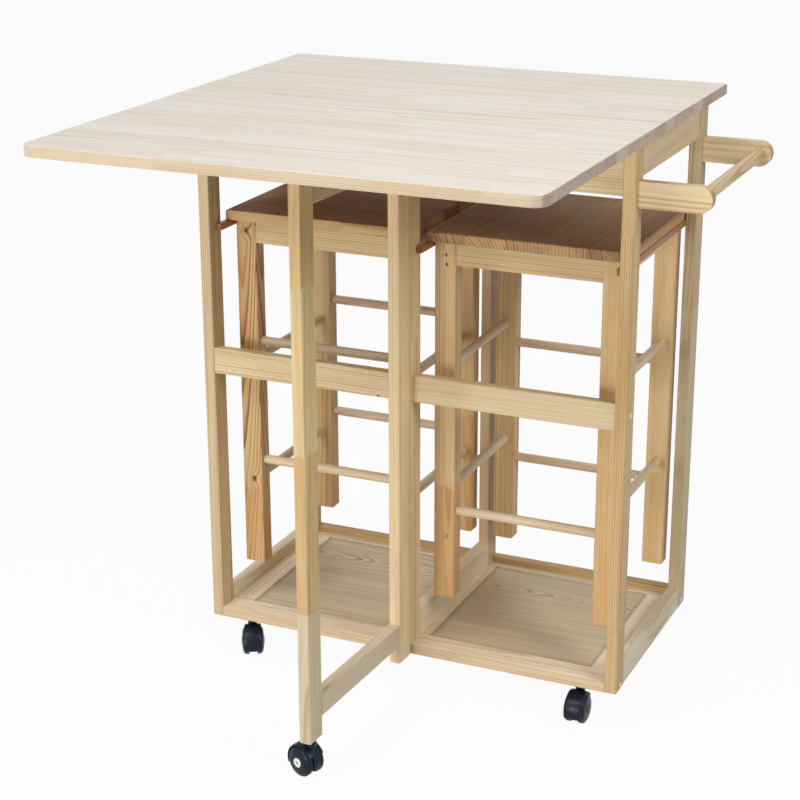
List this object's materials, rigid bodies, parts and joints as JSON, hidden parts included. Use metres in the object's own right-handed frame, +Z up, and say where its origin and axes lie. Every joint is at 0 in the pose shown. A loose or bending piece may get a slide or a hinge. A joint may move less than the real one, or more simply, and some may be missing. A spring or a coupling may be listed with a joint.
{
  "type": "drop-leaf kitchen trolley table",
  "caption": "Drop-leaf pine kitchen trolley table on swivel casters, with a swing-out gate leg, a tray shelf, a towel rail and slide-in stools.",
  "frame": {"origin": "on the floor, under the middle of the whole table with its leaf up and its towel rail", "axes": "+Z up, +X towards the towel rail, -Y towards the leaf and whoever sits at it"},
  "size_m": [0.782, 0.775, 0.88],
  "materials": {
    "pine_top": "clear satin lacquer on edge-glued pine",
    "pine_frame": "clear satin lacquer on planed pine",
    "pine_stools": "clear satin lacquer on planed pine",
    "tray_plywood": "clear lacquer on thin plywood",
    "hinge_steel": "zinc plated",
    "caster_hoods": "moulded black plastic",
    "caster_wheels": "moulded black plastic",
    "white_caps": "moulded white plastic"
  },
  "bodies": {
    "frame": {"apron_back_left": "pine_frame", "apron_back_right": "pine_frame", "apron_front_left": "pine_frame", "apron_front_right": "pine_frame", "apron_side_left": "pine_frame", "apron_side_right": "pine_frame", "gate_hinge_fixed_halves": "hinge_steel", "leaf_hinge_fixed_halves": "hinge_steel", "mid_rail_left": "pine_frame", "mid_rail_right": "pine_frame", "post_back_centre": "pine_frame", "post_back_left": "pine_frame", "post_back_right": "pine_frame", "post_front_centre": "pine_frame", "post_front_left": "pine_frame", "post_front_right": "pine_frame", "screw_caps": "white_caps", "seat_runners": "pine_frame", "top_fixed": "pine_top", "towel_arm_back": "pine_frame", "towel_arm_front": "pine_frame", "towel_bar": "pine_frame", "tray_back_board_left": "pine_frame", "tray_back_board_right": "pine_frame", "tray_back_rail_left": "pine_frame", "tray_back_rail_right": "pine_frame", "tray_centre_beam": "pine_frame", "tray_front_board_left": "pine_frame", "tray_front_board_right": "pine_frame", "tray_panel_left": "tray_plywood", "tray_panel_right": "tray_plywood", "tray_side_rail_left": "pine_frame", "tray_side_rail_right": "pine_frame", "tray_stiles": "pine_frame"},
    "leaf": {"leaf": "pine_top", "leaf_hinge_moving_halves": "hinge_steel"},
    "gate": {"gate_bottom_rail": "pine_frame", "gate_hinge_moving_halves": "hinge_steel", "gate_pivot_post": "pine_frame", "gate_swing_leg": "pine_frame", "gate_top_rail": "pine_frame"},
    "stool_left": {"stool_left_aprons": "pine_stools", "stool_left_legs": "pine_stools", "stool_left_rungs": "pine_stools", "stool_left_seat": "pine_stools"},
    "stool_right": {"stool_right_aprons": "pine_stools", "stool_right_legs": "pine_stools", "stool_right_rungs": "pine_stools", "stool_right_seat": "pine_stools"},
    "front_left_fork": {"caster_fork_front_left": "caster_hoods"},
    "front_left_wheels": {"caster_wheels_front_left": "caster_wheels"},
    "front_right_fork": {"caster_fork_front_right": "caster_hoods"},
    "front_right_wheels": {"caster_wheels_front_right": "caster_wheels"},
    "back_left_fork": {"caster_fork_back_left": "caster_hoods"},
    "back_left_wheels": {"caster_wheels_back_left": "caster_wheels"},
    "back_right_fork": {"caster_fork_back_right": "caster_hoods"},
    "back_right_wheels": {"caster_wheels_back_right": "caster_wheels"},
    "gate_fork": {"caster_fork_gate": "caster_hoods"},
    "gate_wheels": {"caster_wheels_gate": "caster_wheels"}
  },
  "joints": [
    {"name": "leaf_hinge", "type": "hinge", "parent": "frame", "child": "leaf", "pos_m": [0, -0.0065, 0.8676], "axis": [1, 0, 0], "range_deg": [-4, 0]},
    {"name": "gate_swing", "type": "hinge", "parent": "frame", "child": "gate", "pos_m": [-0.0525, 0.0175, 0.46], "axis": [0, 0, 1], "range_deg": [-78, 2.7]},
    {"name": "stool_left_slide", "type": "slide", "parent": "frame", "child": "stool_left", "axis": [0, 1, 0], "range_m": [0, 0.34]},
    {"name": "stool_right_slide", "type": "slide", "parent": "frame", "child": "stool_right", "axis": [0, 1, 0], "range_m": [0, 0.34]},
    {"name": "front_left_swivel", "type": "hinge", "parent": "frame", "child": "front_left_fork", "pos_m": [-0.312, 0.036, 0.058], "axis": [0, 0, 1], "continuous": true},
    {"name": "front_right_swivel", "type": "hinge", "parent": "frame", "child": "front_right_fork", "pos_m": [0.23, 0.036, 0.058], "axis": [0, 0, 1], "continuous": true},
    {"name": "back_left_swivel", "type": "hinge", "parent": "frame", "child": "back_left_fork", "pos_m": [-0.312, 0.3425, 0.058], "axis": [0, 0, 1], "continuous": true},
    {"name": "back_right_swivel", "type": "hinge", "parent": "frame", "child": "back_right_fork", "pos_m": [0.23, 0.3425, 0.058], "axis": [0, 0, 1], "continuous": true},
    {"name": "gate_swivel", "type": "hinge", "parent": "gate", "child": "gate_fork", "pos_m": [-0.0546, -0.27122, 0.058], "axis": [0, 0, 1], "continuous": true},
    {"name": "front_left_roll", "type": "hinge", "parent": "front_left_fork", "child": "front_left_wheels", "pos_m": [-0.30667, 0.02638, 0.022], "axis": [0.8746, 0.4848, 0], "continuous": true},
    {"name": "front_right_roll", "type": "hinge", "parent": "front_right_fork", "child": "front_right_wheels", "pos_m": [0.23, 0.025, 0.022], "axis": [1, 0, 0], "continuous": true},
    {"name": "back_left_roll", "type": "hinge", "parent": "back_left_fork", "child": "back_left_wheels", "pos_m": [-0.30915, 0.33187, 0.022], "axis": [0.9659, 0.2588, 0], "continuous": true},
    {"name": "back_right_roll", "type": "hinge", "parent": "back_right_fork", "child": "back_right_wheels", "pos_m": [0.22809, 0.33167, 0.022], "axis": [0.9848, -0.1736, 0], "continuous": true},
    {"name": "gate_roll", "type": "hinge", "parent": "gate_fork", "child": "gate_wheels", "pos_m": [-0.06487, -0.26728, 0.022], "axis": [-0.3584, -0.9336, 0], "continuous": true}
  ]
}
